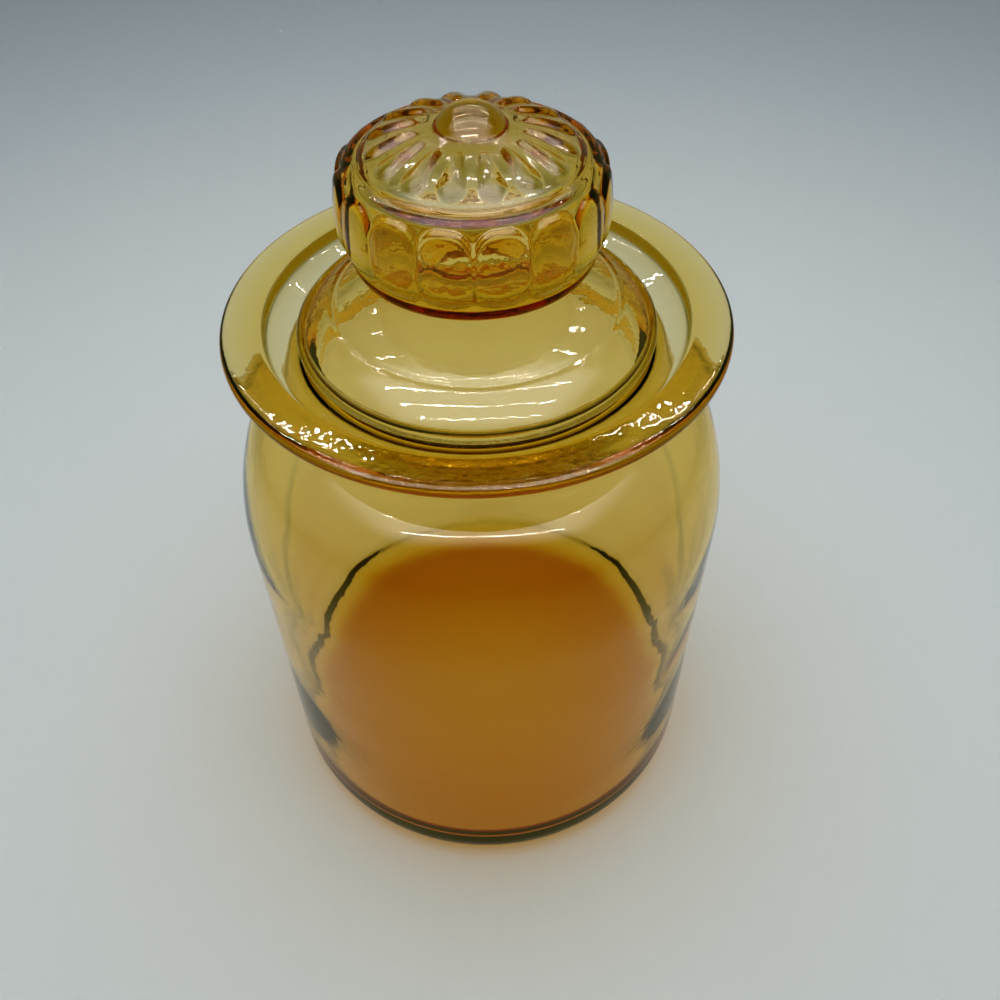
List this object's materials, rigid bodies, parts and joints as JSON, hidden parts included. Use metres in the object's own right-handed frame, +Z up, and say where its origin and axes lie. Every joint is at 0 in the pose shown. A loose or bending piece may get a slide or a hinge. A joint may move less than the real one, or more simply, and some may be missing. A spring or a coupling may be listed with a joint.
{
  "type": "apothecary jar",
  "caption": "Round amber glass storage jar with a wide flat brim, and a lift-off domed lid whose hollow knob has a lobed side and a petalled crown.",
  "frame": {"origin": "centre of the foot, on the plane that the jar stands on", "axes": "+Z up along the jar's axis; -Y faces the viewer of the picture, +X to the viewer's right"},
  "size_m": [0.1524, 0.1524, 0.2487],
  "materials": {
    "jar_glass": "clear amber soda-lime glass, blown, fire-polished, with a matt ground seat inside the brim",
    "lid_glass": "clear amber soda-lime glass, mould-blown, fire-polished"
  },
  "bodies": {
    "jar": {"jar_body": "jar_glass"},
    "lid": {"lid": "lid_glass"}
  },
  "joints": [
    {"name": "lid_lift", "type": "slide", "parent": "jar", "child": "lid", "axis": [0, 0, 1], "range_m": [0, 0.12]}
  ]
}
